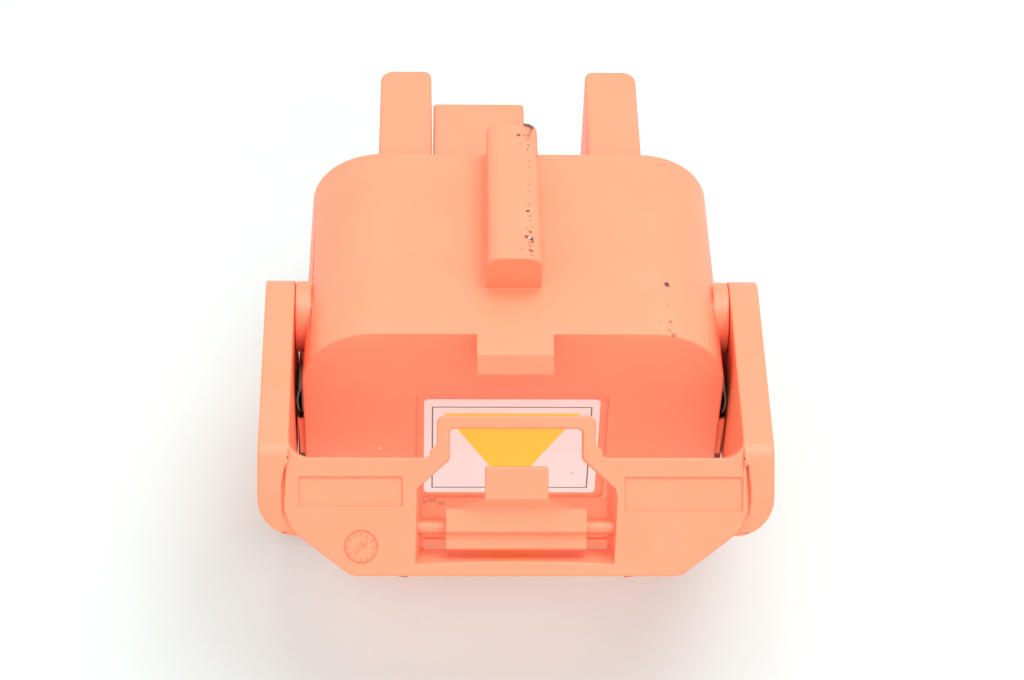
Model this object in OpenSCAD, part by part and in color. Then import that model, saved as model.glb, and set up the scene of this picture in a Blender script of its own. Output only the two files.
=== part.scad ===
/* [Housing] */
// Width across the flat sides at the label face
housing_w = 75.4; // [70:0.5:80]
// Width across the flat sides at the open mating end
housing_rear_w = 73.6; // [69:0.1:80]
// Height of the housing, lying on its broad side
housing_h = 62.6; // [60:0.1:68]
// Depth from the label face to the open mating end
housing_d = 44; // [42:0.5:50]
// Radius of the four long corners
corner_r = 13.2; // [10:0.2:15]
// Thickness of the moulded walls
wall_t = 2.8; // [2.2:0.1:3.2]

/* [Key rib and catch] */
// Width of the key rib that guides the plug into its header
key_w = 9.8; // [8:0.2:12]
// Height of the key rib above the housing
key_h = 8.2; // [6:0.2:9]
// Distance from the label face to the front end of the key rib
key_setback = 10.5; // [9:0.5:16]
// Width of the catch nose at the edge of the label face
catch_w = 13.6; // [10:0.2:18]
// Reach of the catch nose in front of the label face
catch_reach = 6.9; // [5:0.1:8]

/* [Lever] */
// Distance from the label face back to the lever's pivot
pivot_back = 15.8; // [14:0.1:18]
// Height of the lever's pivot
pivot_h = 49; // [47:0.1:50]
// Distance from the middle to the inner face of each arm
arm_inner = 39.3; // [39.2:0.1:41]
// Thickness of each arm
arm_t = 5.3; // [4.6:0.1:6]
// Radius of the round end of each arm
arm_end_r = 6.5; // [6.3:0.1:7]
// Reach of the crossbar's upper edge in front of the label face
bar_reach = 22.8; // [21:0.1:25]
// Height of the crossbar's upper edge
bar_level = 56.3; // [56:0.1:58]
// Angle by which the crossbar leans back from upright
bar_lean = 39; // [37:1:41]
// Width of the crossbar's face from its upper to its lower edge
bar_w = 20.4; // [20:0.1:22]
// Thickness of the crossbar's face
bar_t = 3; // [2.4:0.1:3.4]

/* [Terminals] */
// Distance from the middle to the centre of each terminal tower
tower_x = 19.55; // [19.2:0.05:19.7]
// Width of a terminal tower
tower_w = 10.3; // [10:0.1:10.6]
// Height of a terminal tower
tower_h = 25; // [24:0.5:26]
// Level of the top of the towers
tower_top = 58; // [57:0.5:58]
// Distance from the label face to the end of the towers
tower_end = 70.2; // [66:0.1:74]
// Radius of the fuse tube
fuse_r = 11; // [10:0.1:11]
// Level of the fuse's axis
fuse_level = 19; // [18.5:0.1:19.5]

/* [Hidden] */
$fn = 64;

// The label face is at the front, towards -Y, and the mating end at the back
front_y = -housing_d / 2;
back_y = housing_d / 2;
label_face_t = 3;
eps = 0.01;
arc_steps = 8;

// Colours of the mouldings, metals and rubber
orange = [1.0, 0.46, 0.24];
orange_inner = [0.96, 0.42, 0.22];
copper = [0.78, 0.46, 0.30];
steel = [0.70, 0.70, 0.72];
brass = [0.80, 0.68, 0.36];
ceramic = [0.90, 0.88, 0.82];

// Label, recess and lower panel in the label face
label_w = 31.9;
label_h = 27.2;
label_level = 30.6;
label_t = 0.15;
recess_w = 34.8;
recess_h = 30.2;
recess_level = 30.8;
recess_depth = 0.4;
panel_w = 38;
panel_h = 6.9;
panel_level = 11.8;
panel_depth = 0.8;
foot_groove_h = 1.2;
foot_groove_level = 3.2;
foot_groove_depth = 0.5;

// Key rib and catch nose
key_rear_w = key_w - 0.6;
key_edge_r = 2.4;
catch_top_reach = 4.7;
catch_slope_drop = 3;
catch_h = 5.2;

// Pivot on each side of the housing: a round boss, and the journal with its snap head
hub_r = 6.4;
journal_r = 3.2;
bore_r = journal_r + 0.05;
head_r = 4.2;
counterbore_r = 4.6;
counterbore_t = 1.2;
side_play = 0.1;
pivot_y = front_y + pivot_back;
arm_outer = arm_inner + arm_t;

// Hairpin leaf spring and its guide rail on each side of the housing
leaf_t = 0.35;
leaf_gap = 0.1;
leaf_w = 6.5;
leaf_y = front_y + 5.6;
leaf_bottom = 21.5;
leaf_top = 44.6;
leaf_bow = 0.5;
bow_low = 37.6;
leaf_x = housing_w / 2 + 0.02;
rail_low = 16;
rail_high = 37.4;
rail_x = arm_inner - 0.3;
rail_front = front_y + 1.2;
rail_back = front_y + 24;
foot_window_high = 27.4;
leaf_slot = 0.05;

// Inside of the housing: screw bosses
boss_x = 27.6;
boss_low = 9.2;
boss_high = housing_h - 9.2;
boss_r = 2.9;
pilot_r = 1.25;
pilot_depth = 14;

// Crossbar, drawn on its own face: x across, y up the face, z out of it
bar_face_y = front_y - bar_reach;
window_x = 17.2;
window_low = 18.2;
window_high = 5.5;
window_rib_t = 2;
window_depth = 8.6;
bar_bow = 0.4;
arch_x = 13.75;
arch_h = 7.3;
arch_bar = 2.3;
arch_depth = 4;
lobe_depth = 13.5;
lobe_r = 6.5;
lobe_inner = 37.2;
lobe_back = 9.3;
lobe_tab = 1.5;
heel_front = front_y - 2;
heel_back = pivot_y + 5;
heel_low = 25;
groove_w = 0.45;
groove_t = 0.6;
groove_fade = 5;
groove_end = 1.2;
root_r = 3.4;
skirt_t = 2;
skirt_depth = 6;
plate_side = 40;
plate_side_h = 11.7;
plate_side_r = 7.3;
plate_foot_x = 28.4;
plate_foot_r = 4;
badge_depth = 0.35;

// Rocker that locks the lever, hung between the sides of the window
rocker_pivot = -12.15;
rocker_pivot_depth = 3.2;
trunnion_r = 1.2;
trunnion_bore_r = trunnion_r + 0.05;
trunnion_reach = 18.6;
trunnion_bore_reach = 18.8;
rocker_half = 12.15;

// Terminal housing
base_front = front_y + 33;
base_t = 4;
base_back = base_front + base_t;
fit_gap = 0.25;
tower_back = front_y + tower_end;
tower_level = tower_top - tower_h / 2;
cavity_w = 7;
cavity_h = 19;
interlock_left = -14.3;
interlock_right = 2.8;
interlock_h = 12;
interlock_back = front_y + 61.4;
pocket_wall = 2.6;
pocket_front = front_y + 45;

// Fuse, lying along X
fuse_y = front_y + 20;
tube_half = 18;
tube_wall = 2.2;
cap_r = fuse_r + 1;
cap_inner = 15;
cap_outer = 23.6;
tab_t = 2;
tab_h = 13;
tab_outer = 33;
bolt_x = 28.5;
bolt_r = 2.5;
tab_hole_r = 2.7;
washer_t = 1;
head_h = 3.4;
hex_af = 8;
insert_r = 3.2;
insert_len = 8;
strip_t = 0.3;
strip_h = 8;
neck_rows = 5;
neck_pitch = 6;
hole_pitch = 2.6;

// Busbars and sockets
busbar_front = fuse_y + tab_t / 2;
busbar_t = 2;
busbar_back = busbar_front + busbar_t;
socket_t = 0.9;
socket_w = cavity_w - 0.3;
socket_h = 17;
socket_len = 39;
spring_t = 0.35;
spring_h = 13;
spring_len = 20;
spring_bow = 1.1;
spring_fn = 256;
spring_play = 0.03;
jumper_t = 0.8;
jumper_pitch = 6;
jumper_h = 3;

// Direction from a to b, of length one
function unit(a) = a / norm(a);

// Points of the arc of radius r that rounds corner b between its neighbours a and c
function corner_arc(a, b, c, r) =
    let (u = unit(a - b), v = unit(c - b), half = acos(u * v) / 2, sweep = 180 - 2 * half)
    let (centre = b + unit(u + v) * r / sin(half))
    let (e = unit(b + u * r / tan(half) - centre), f = unit(b + v * r / tan(half) - centre))
    [for (i = [0:arc_steps]) let (t = i / arc_steps)
        centre + r * (sin((1 - t) * sweep) * e + sin(t * sweep) * f) / sin(sweep)];

// Outline through corners given as [x, y, radius]; a radius of 0 leaves the corner sharp
function rounded(corners) =
    let (n = len(corners), p = [for (k = corners) [k.x, k.y]])
    [for (i = [0:n - 1]) let (a = p[(i + n - 1) % n], b = p[i], c = p[(i + 1) % n])
        each corners[i].z > 0 ? corner_arc(a, b, c, corners[i].z) : [b]];

// Corners of the right half followed by the same corners mirrored to the left
function both_sides(half) =
    concat(half, [for (i = [len(half) - 1:-1:0]) [-half[i].x, half[i].y, half[i].z]]);

// Corners of a rectangle with its middle at [x, y]
function box_corners(x, y, w, h, r) =
    [for (k = [[-1, -1], [1, -1], [1, 1], [-1, 1]]) [x + k.x * w / 2, y + k.y * h / 2, r]];

// Extrudes an outline drawn in x and z from depth y0 back to depth y1
module along_y(y0, y1) {
    translate([0, y1, 0])
        rotate([90, 0, 0])
            linear_extrude(y1 - y0)
                children();
}

// Extrudes an outline drawn in y and z from x0 to x1
module along_x(x0, x1) {
    translate([x0, 0, 0])
        rotate([90, 0, 90])
            linear_extrude(x1 - x0)
                children();
}

// A round bar along X, from x0 to x1
module bar_x(r, x0, x1, y, z) {
    translate([x0, y, z])
        rotate([0, 90, 0])
            cylinder(r = r, h = x1 - x0);
}

// A round bar along Y, from y0 to y1
module bar_y(r, x, z, y0, y1) {
    translate([x, y1, z])
        rotate([90, 0, 0])
            cylinder(r = r, h = y1 - y0);
}

// Places what is drawn on the crossbar's face
module on_bar() {
    translate([0, bar_face_y, bar_level])
        rotate([bar_lean, 0, 0])
            children();
}

module left_and_right() {
    children();
    mirror([1, 0, 0])
        children();
}

// The cup's section, narrower at the mating end, with its walls moved in by inset
module cup(inset, y0, y1) {
    w0 = housing_rear_w - 2 * inset;
    grow = (housing_w - housing_rear_w) / housing_d;
    w_back = w0 + grow * (back_y - y1);
    w_front = w0 + grow * (back_y - y0);
    translate([0, y1, housing_h / 2])
        rotate([90, 0, 0])
            linear_extrude(y1 - y0, scale = [w_front / w_back, 1], slices = 1)
                rounded_section(w_back, housing_h - 2 * inset, corner_r - inset);
}

module rounded_section(w, h, r) {
    corner_steps = 22;
    polygon([for (q = [0:3]) for (i = [0:corner_steps])
        let (a = 90 * q + 90 * i / corner_steps)
        let (sx = q == 0 || q == 3 ? 1 : -1, sy = q < 2 ? 1 : -1)
        [sx * (w / 2 - r) + r * cos(a), sy * (h / 2 - r) + r * sin(a)]]);
}

// Rib with a rounded top, a little narrower towards the mating end
module key_rib() {
    root = housing_h - wall_t / 2;
    top = housing_h + key_h;
    translate([0, back_y, 0])
        rotate([90, 0, 0])
            linear_extrude(housing_d - key_setback, scale = [key_w / key_rear_w, 1], slices = 1)
                polygon(rounded([[key_rear_w / 2, root, 0], [key_rear_w / 2, top, key_edge_r],
                    [-key_rear_w / 2, top, key_edge_r], [-key_rear_w / 2, root, 0]]));
}

// Nose with a sloped front, flush with the housing's top
module catch_nose() {
    along_x(-catch_w / 2, catch_w / 2)
        polygon(rounded([
            [front_y + label_face_t / 2, housing_h, 0],
            [front_y - catch_top_reach, housing_h, 0.4],
            [front_y - catch_reach, housing_h - catch_slope_drop, 0.4],
            [front_y - catch_reach, housing_h - catch_slope_drop - 0.9, 0.3],
            [front_y - 1.2, housing_h - catch_h, 0.8],
            [front_y + label_face_t / 2, housing_h - catch_h, 0]]));
}

// Pivot boss and pin, with a snap head for the lever's arm
module pivot_pin() {
    bar_x(hub_r, housing_w / 2 - wall_t / 2, arm_inner - side_play, pivot_y, pivot_h);
    bar_x(journal_r, housing_w / 2 - wall_t, arm_outer - counterbore_t + side_play, pivot_y, pivot_h);
    bar_x(head_r, arm_outer - counterbore_t + side_play, arm_outer - 0.2, pivot_y, pivot_h);
}

// Guide rail with a slot that holds the leaf spring and a small window at its foot
module side_rail() {
    difference() {
        along_y(rail_front, rail_back)
            polygon(rounded([[housing_w / 2 - wall_t / 2, rail_low, 0], [rail_x, rail_low, 0.4],
                [rail_x, rail_high, 0.4], [housing_w / 2 - wall_t / 2, rail_high, 0]]));
        along_y(leaf_y - leaf_w / 2 - leaf_slot, leaf_y + leaf_w / 2 + leaf_slot)
            slot_square(leaf_bottom - leaf_slot, rail_high + 1);
        along_y(rail_front - 1, leaf_y)
            slot_square(leaf_bottom - leaf_slot, foot_window_high);
    }
}

// Rectangle round both legs of the spring, from height z0 to z1
module slot_square(z0, z1) {
    translate([leaf_x - leaf_slot, z0])
        square([2 * leaf_t + leaf_gap + 2 * leaf_slot, z1 - z0]);
}

module housing() {
    color(orange)
        difference() {
            union() {
                difference() {
                    union() {
                        cup(0, front_y, back_y);
                        key_rib();
                        left_and_right() side_rail();
                    }
                    cup(wall_t, front_y + label_face_t, back_y + 1);
                }
                catch_nose();
                left_and_right() pivot_pin();
                intersection() {
                    cup(wall_t / 2, front_y + label_face_t / 2, back_y);
                    for (x = [-boss_x, boss_x], z = [boss_low, boss_high])
                        bar_y(boss_r, x, z, front_y + label_face_t - eps, base_front);
                }
            }
            label_recesses();
            for (x = [-boss_x, boss_x], z = [boss_low, boss_high])
                bar_y(pilot_r, x, z, base_front - pilot_depth, base_front + 1);
            left_and_right() head_slot();
        }
}

// Slit across the snap head, which lets it spring through the arm
module head_slot() {
    slit = 1.2;
    translate([arm_inner + 1.5, pivot_y - slit / 2, pivot_h - head_r - 1])
        cube([arm_t, slit, 2 * head_r + 2]);
}

module label_recesses() {
    along_y(front_y - 1, front_y + recess_depth)
        polygon(rounded(box_corners(0, recess_level, recess_w, recess_h, 1)));
    along_y(front_y - 1, front_y + panel_depth)
        polygon(rounded(box_corners(0, panel_level, panel_w, panel_h, 0.8)));
    along_y(front_y - 1, front_y + foot_groove_depth)
        polygon(rounded(box_corners(0, foot_groove_level, panel_w, foot_groove_h, 0)));
}

module label() {
    color("white")
        along_y(front_y + recess_depth - label_t, front_y + recess_depth)
            polygon(rounded(box_corners(0, label_level, label_w, label_h, 0.9)));
}

// Hairpin strip: a straight leg on the wall, a fold at the top and a leg that bows out below it
module leaf_spring() {
    steps = 24;
    outer_x = leaf_x + leaf_t + leaf_gap;
    bow = [for (i = [0:steps]) let (t = i / steps)
        [outer_x + leaf_bow * sin(180 * t), bow_low + (leaf_top - leaf_t - bow_low) * t]];
    along_y(leaf_y - leaf_w / 2, leaf_y + leaf_w / 2) {
        translate([leaf_x, leaf_bottom]) square([leaf_t, leaf_top - leaf_bottom]);
        translate([leaf_x, leaf_top - leaf_t]) square([2 * leaf_t + leaf_gap, leaf_t]);
        polygon(concat([[outer_x, leaf_bottom]], bow,
            [for (i = [steps:-1:0]) [bow[i].x + leaf_t, bow[i].y]], [[outer_x + leaf_t, leaf_bottom]]));
    }
}

module side_springs() {
    color(steel)
        left_and_right() leaf_spring();
}

// Point of the arm's side view given as [up the crossbar's face, out of it]
function on_face(k) = let (c = cos(bar_lean), t = sin(bar_lean))
    [bar_face_y + k.x * c - k.y * t, bar_level + k.x * t + k.y * c];

// Side view of one arm, in depth and height: its face steepens towards the lobe's end, and its heel is deep
module arm_profile() {
    crest = on_face([1.5, 0.7]);
    brow = on_face([-6.5, 0.5]);
    chin = on_face([-lobe_depth - 0.2, -1.5]);
    jaw = on_face([-lobe_depth - 0.2, -11]);
    polygon(rounded([
        [pivot_y, pivot_h + arm_end_r, 0],
        [crest.x, crest.y, 4.5],
        [brow.x, brow.y, 12],
        [chin.x, chin.y, 1.2],
        [jaw.x, jaw.y, 3],
        [heel_front, heel_low, 6],
        [heel_back, heel_low, 6],
        [heel_back, pivot_h, 0],
        [pivot_y, pivot_h, 0]]));
    translate([pivot_y, pivot_h]) circle(r = arm_end_r);
}

// Groove between the crossbar's plate and the lobes: the plate's outline, a little wider, which fades upwards
module groove() {
    translate([0, 0, -groove_t])
        linear_extrude(3)
            polygon(rounded(both_sides([
                [plate_foot_x, -bar_w, plate_foot_r],
                [plate_side + groove_w, -plate_side_h, plate_side_r],
                [plate_side + groove_w, -groove_fade, 2],
                [plate_side, -groove_end, 0]])));
}

// Points on the rounded outer corner of the right lobe, from angle t0 to t1
function lobe_arc(t0, t1) =
    [for (i = [0:arc_steps]) let (t = t0 + (t1 - t0) * i / arc_steps)
        [arm_outer - lobe_r + lobe_r * cos(t), lobe_r - lobe_depth - lobe_r * sin(t)]];

// Point at angle t of the fillet between the right arm's inner face and the crossbar's upper edge
function root_point(t) = [arm_inner - root_r + root_r * cos(t), root_r - root_r * sin(t)];

// Both arms with what joins them to the crossbar, cut to the arm's side view
module arms() {
    far = 60;
    overlap = 1;
    corner_split = acos((arm_inner - arm_outer + lobe_r) / lobe_r);
    root_split = acos((lobe_inner - arm_inner + root_r) / root_r);
    root_arc = [for (i = [arc_steps:-1:0]) root_point(root_split * i / arc_steps)];
    inner_corner = concat(root_arc,
        [[arm_inner + overlap, root_r], [arm_inner + overlap, lobe_r - lobe_depth]],
        lobe_arc(corner_split, 90), [[lobe_inner, -lobe_depth]]);
    intersection() {
        left_and_right() along_x(lobe_inner - 3, arm_outer) arm_profile();
        on_bar()
            left_and_right() {
                translate([0, 0, -far])
                    linear_extrude(2 * far)
                        polygon(concat([[arm_inner, far], [arm_outer, far]], lobe_arc(0, corner_split)));
                translate([0, 0, -lobe_back])
                    linear_extrude(lobe_back)
                        polygon(concat(inner_corner,
                            [[lobe_inner, -lobe_tab], [lobe_inner - 2, -lobe_tab], [lobe_inner - 2, 0]],
                            [root_point(90), root_point((90 + root_split) / 2)]));
            }
    }
}

// Outline of the crossbar's plate with the finger arch
module bar_outline() {
    polygon(rounded(both_sides([
        [plate_foot_x, -bar_w, plate_foot_r],
        [plate_side, -plate_side_h, plate_side_r],
        [plate_side, 0, 0],
        [arch_x + 1.6, 0, 1.2],
        [arch_x, 1.6, 1.2],
        [arch_x, arch_h, 1.4]])));
}

// Opening in the crossbar: narrow in the arch, wide round the rocker, its lower edge bowed up
module window_outline() {
    inner = arch_x - arch_bar;
    bow_steps = 12;
    top = arch_h - arch_bar;
    lower_edge = [for (i = [0:bow_steps]) let (t = -1 + 2 * i / bow_steps)
        [window_x * t, -window_low + bar_bow * (1 - t * t), 0]];
    polygon(rounded(concat(lower_edge, [
        [window_x, -window_high, 0.8], [inner, -0.3, 1], [inner, top, 0.8],
        [-inner, top, 0.8], [-inner, -0.3, 1], [-window_x, -window_high, 0.8]])));
}

// Draft of the walls behind the opening, which closes in towards the back
module window_funnel() {
    side_draft = 1.1;
    foot_draft = 2.4;
    far = 30;
    back_x = window_x - side_draft * far / window_depth;
    back_low = window_low - foot_draft * far / window_depth;
    intersection() {
        along_side(-far, far)
            polygon([[1, -window_low], [1, far], [-far, far], [-far, -back_low], [0, -window_low]]);
        translate([0, far, 0])
            rotate([90, 0, 0])
                linear_extrude(2 * far)
                    polygon([[-window_x, 1], [-window_x, 0], [-back_x, -far],
                        [back_x, -far], [window_x, 0], [window_x, 1]]);
    }
}

// Shallow rectangular fields moulded into the crossbar
module bar_fields() {
    translate([0, 0, -badge_depth])
        linear_extrude(2) {
            polygon(rounded(box_corners(-28.6, -5.9, 17.9, 5.2, 0.4)));
            polygon(rounded(box_corners(28.9, -6.3, 20.4, 6, 0.4)));
        }
    translate([-26.75, -15.4, -badge_depth / 2])
        difference() {
            cylinder(r = 2.9, h = 2);
            cylinder(r = 2.6, h = 5, center = true);
        }
}

module crossbar() {
    on_bar()
        difference() {
            union() {
                translate([0, 0, -bar_t]) linear_extrude(bar_t) bar_outline();
                arch_strut();
                window_ribs();
                edge_skirts();
            }
            intersection() {
                translate([0, 0, -20]) linear_extrude(40) window_outline();
                window_funnel();
            }
            bar_fields();
        }
}

// The arch is deeper than the plate
module arch_strut() {
    translate([0, 0, -arch_depth])
        linear_extrude(arch_depth)
            polygon(rounded(both_sides([[arch_x + 1.2, -3, 0], [arch_x + 1.2, 1.2, 0.6],
                [arch_x, 2.2, 0.6], [arch_x, arch_h, 1.4]])));
}

// Walls round the lower part of the window
module window_ribs() {
    outer = window_x + window_rib_t;
    translate([0, 0, -window_depth])
        linear_extrude(window_depth)
            polygon(rounded([[-outer, -bar_w, 0.6], [outer, -bar_w, 0.6], [outer, -window_high + 1.5, 0.6],
                [-outer, -window_high + 1.5, 0.6]]));
}

// Stiffening skirts behind the upper edge of the crossbar
module edge_skirts() {
    left_and_right()
        translate([window_x - 1, -skirt_t, -skirt_depth])
            cube([plate_side - window_x + 1, skirt_t, skirt_depth]);
}

module lever() {
    color(orange)
        difference() {
            union() {
                difference() {
                    arms();
                    on_bar() groove();
                }
                crossbar();
            }
            left_and_right() {
                bar_x(bore_r, arm_inner - 5, arm_outer + 1, pivot_y, pivot_h);
                bar_x(counterbore_r, arm_outer - counterbore_t, arm_outer + 1, pivot_y, pivot_h);
                on_bar() bar_x(trunnion_bore_r, 0, trunnion_bore_reach, rocker_pivot, -rocker_pivot_depth);
            }
        }
}

// Side view of the rocker, drawn as x out of the crossbar's face and y up it
module rocker_profile() {
    polygon(rounded([
        [0.3, -12.75, 0.5],
        [0.3, -8.8, 0.5],
        [2.4, -7.1, 0.4],
        [2.4, -1.45, 0.5],
        [0.2, -1.45, 0.5],
        [-0.4, -6.4, 1.5],
        [-4.4, -8.9, 0.8],
        [-4.4, -13.2, 0.3],
        [-5.2, -14, 0.4],
        [-5.2, -15.3, 0.4],
        [-1.0, -16, 0.4],
        [-1.0, -13.4, 0.2]]));
}

module lock_rocker() {
    thumb = 5.45;
    flare = 9.8;
    color(orange)
        on_bar() {
            intersection() {
                along_side(-rocker_half, rocker_half) rocker_profile();
                translate([0, 0, -20])
                    linear_extrude(40)
                        polygon(rounded(both_sides([
                            [rocker_half, -16, 0],
                            [rocker_half, -8.8, 0],
                            [flare, -8.6, 0],
                            [thumb, -7.1, 0.5],
                            [thumb, -1.4, 0.5]])));
            }
            left_and_right()
                bar_x(trunnion_r, rocker_half - 1, trunnion_reach, rocker_pivot, -rocker_pivot_depth);
        }
}

// Extrudes across the crossbar an outline drawn as x out of its face and y up it
module along_side(x0, x1) {
    translate([x1, 0, 0])
        rotate([0, -90, 0])
            linear_extrude(x1 - x0)
                children();
}

// One tower outline seen from above, with rounded corners at its end
module tower_plan() {
    polygon(rounded([
        [tower_x - tower_w / 2, base_front + eps, 0],
        [tower_x + tower_w / 2, base_front + eps, 0],
        [tower_x + tower_w / 2 - 0.4, tower_back, 2.6],
        [tower_x - tower_w / 2 + 0.3, tower_back, 1.6]]));
}

module tower() {
    intersection() {
        translate([0, 0, tower_top - tower_h]) linear_extrude(tower_h) tower_plan();
        along_y(base_front, tower_back)
            polygon(rounded(box_corners(tower_x, tower_level, tower_w + 0.01, tower_h, 1)));
    }
}

module tower_cavity() {
    along_y(base_front - 1, tower_back + 1)
        polygon(rounded(box_corners(tower_x, tower_level, cavity_w, cavity_h, 0.6)));
}

module interlock_block() {
    w = interlock_right - interlock_left;
    along_y(base_front, interlock_back)
        polygon(rounded(box_corners((interlock_left + interlock_right) / 2, tower_top - interlock_h / 2,
            w, interlock_h, 0.8)));
}

module interlock_pocket() {
    w = interlock_right - interlock_left - 2 * pocket_wall;
    middle = (interlock_left + interlock_right) / 2;
    level = tower_top - interlock_h / 2;
    along_y(pocket_front, interlock_back + 1)
        polygon(rounded(box_corners(middle, level, w, interlock_h - 2 * pocket_wall, 0.5)));
    for (side = [-1, 1])
        translate([middle + side * jumper_pitch / 2 - jumper_t / 2, base_front - 1, level - jumper_h / 2])
            cube([jumper_t, pocket_front - base_front + 2, jumper_h]);
}

module terminal_housing() {
    color(orange_inner)
        difference() {
            union() {
                cup(wall_t + fit_gap, base_front, base_back);
                left_and_right() tower();
                interlock_block();
                for (x = [-bolt_x, bolt_x])
                    bar_y(insert_r + 1.1, x, fuse_level, busbar_back, base_front + eps);
            }
            left_and_right() tower_cavity();
            interlock_pocket();
            for (x = [-bolt_x, bolt_x])
                bar_y(insert_r, x, fuse_level, busbar_back - 1, busbar_back + insert_len);
            for (x = [-boss_x, boss_x], z = [boss_low, boss_high])
                bar_y(pilot_r + 0.55, x, z, base_front - 1, base_back + 1);
        }
}

module rim_seal() {
    seal_w = 1.6;
    seal_len = 4;
    color([0.75, 0.30, 0.14])
        difference() {
            cup(wall_t + 0.02, base_back, base_back + seal_len);
            cup(wall_t + seal_w, base_back - 1, base_back + seal_len + 1);
        }
}

module housing_screws() {
    screw_head_r = 2.7;
    screw_head_t = 2;
    color(steel)
        for (x = [-boss_x, boss_x], z = [boss_low, boss_high])
            difference() {
                union() {
                    bar_y(pilot_r - 0.05, x, z, base_front - pilot_depth + 1, base_back + 0.5);
                    bar_y(screw_head_r, x, z, base_back, base_back + screw_head_t);
                }
                translate([x, base_back + screw_head_t / 2 + 1, z]) cross_slot();
            }
}

// Cross recess in a screw head
module cross_slot() {
    slot_l = 3.4;
    slot_w = 0.7;
    cube([slot_l, 2, slot_w], center = true);
    cube([slot_w, 2, slot_l], center = true);
}

module fuse_tube() {
    color(ceramic)
        difference() {
            bar_x(fuse_r, -tube_half, tube_half, fuse_y, fuse_level);
            bar_x(fuse_r - tube_wall, -tube_half - 1, tube_half + 1, fuse_y, fuse_level);
        }
}

// Cup over the tube's end with a bolted blade
module fuse_cap() {
    end_wall = 2;
    color(brass)
        difference() {
            union() {
                bar_x(cap_r, cap_inner, cap_outer, fuse_y, fuse_level);
                along_y(fuse_y - tab_t / 2, fuse_y + tab_t / 2)
                    polygon(rounded([
                        [cap_outer - 1, fuse_level - tab_h / 2, 0],
                        [tab_outer, fuse_level - tab_h / 2, 3],
                        [tab_outer, fuse_level + tab_h / 2, 3],
                        [cap_outer - 1, fuse_level + tab_h / 2, 0]]));
            }
            bar_x(fuse_r + 0.02, cap_inner - 1, tube_half + 0.02, fuse_y, fuse_level);
            bar_x(fuse_r - tube_wall, tube_half - 1, cap_outer - end_wall, fuse_y, fuse_level);
            bar_y(tab_hole_r, bolt_x, fuse_level, fuse_y - 5, fuse_y + 5);
        }
}

module fuse_cap_right() {
    fuse_cap();
}

module fuse_cap_left() {
    mirror([1, 0, 0]) fuse_cap();
}

// Punched strip that melts on overload, with rows of holes that leave narrow necks
module fuse_element() {
    half = cap_outer - 2.02;
    hole_r = 1;
    color("silver")
        difference() {
            translate([-half, fuse_y - strip_t / 2, fuse_level - strip_h / 2])
                cube([2 * half, strip_t, strip_h]);
            for (row = [0:neck_rows - 1], col = [-1:1])
                bar_y(hole_r, (row - (neck_rows - 1) / 2) * neck_pitch, fuse_level + col * hole_pitch,
                    fuse_y - 1, fuse_y + 1);
        }
}

module fuse_bolts() {
    washer_front = fuse_y - tab_t / 2 - washer_t;
    color(steel)
        for (x = [-bolt_x, bolt_x]) {
            bar_y(bolt_r, x, fuse_level, washer_front - 0.5, busbar_back + insert_len - 1);
            translate([x, washer_front, fuse_level])
                rotate([90, 0, 0])
                    cylinder(r = hex_af / sqrt(3), h = head_h, $fn = 6);
        }
}

// Split spring washers under the bolt heads
module spring_washers() {
    washer_r = 4.3;
    gap = 0.8;
    color(steel)
        for (x = [-bolt_x, bolt_x])
            difference() {
                bar_y(washer_r, x, fuse_level, fuse_y - tab_t / 2 - washer_t, fuse_y - tab_t / 2);
                bar_y(bolt_r + 0.1, x, fuse_level, fuse_y - 5, fuse_y + 5);
                translate([x, fuse_y - 2, fuse_level + washer_r / 2])
                    rotate([0, 20, 0])
                        cube([gap, 6, washer_r + 2], center = true);
            }
}

module threaded_inserts() {
    color(brass)
        for (x = [-bolt_x, bolt_x])
            difference() {
                bar_y(insert_r - 0.02, x, fuse_level, busbar_back, busbar_back + insert_len - 0.1);
                bar_y(bolt_r + 0.05, x, fuse_level, busbar_back - 1, busbar_back + insert_len + 1);
            }
}

// Flat bar from the fuse's blade up and across to the tower
module busbar() {
    color(copper)
        along_y(busbar_front, busbar_back)
            difference() {
                polygon(rounded([
                    [24.6, fuse_level - tab_h / 2, 1],
                    [33.3, fuse_level - tab_h / 2, 2],
                    [33.3, 40, 4],
                    [23.4, 47, 3],
                    [23.4, 56, 1],
                    [14.5, 56, 1],
                    [14.5, 34, 1],
                    [24.6, 34, 1.5]]));
                translate([bolt_x, fuse_level]) circle(r = tab_hole_r);
            }
}

module busbar_right() {
    busbar();
}

module busbar_left() {
    mirror([1, 0, 0]) busbar();
}

// Folded socket: a back plate on the busbar and two long cheeks in the tower
module socket() {
    half = socket_w / 2;
    low = tower_level - socket_h / 2;
    color(copper)
        translate([tower_x, busbar_back, low])
            linear_extrude(socket_h)
                difference() {
                    polygon(rounded([[-half, 0, 1], [half, 0, 1],
                        [half, socket_len, 0.3], [-half, socket_len, 0.3]]));
                    polygon(rounded([[-half + socket_t, socket_t, 0.4], [half - socket_t, socket_t, 0.4],
                        [half - socket_t, socket_len + 1, 0], [-half + socket_t, socket_len + 1, 0]]));
                }
}

module socket_right() {
    socket();
}

module socket_left() {
    mirror([1, 0, 0]) socket();
}

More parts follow.
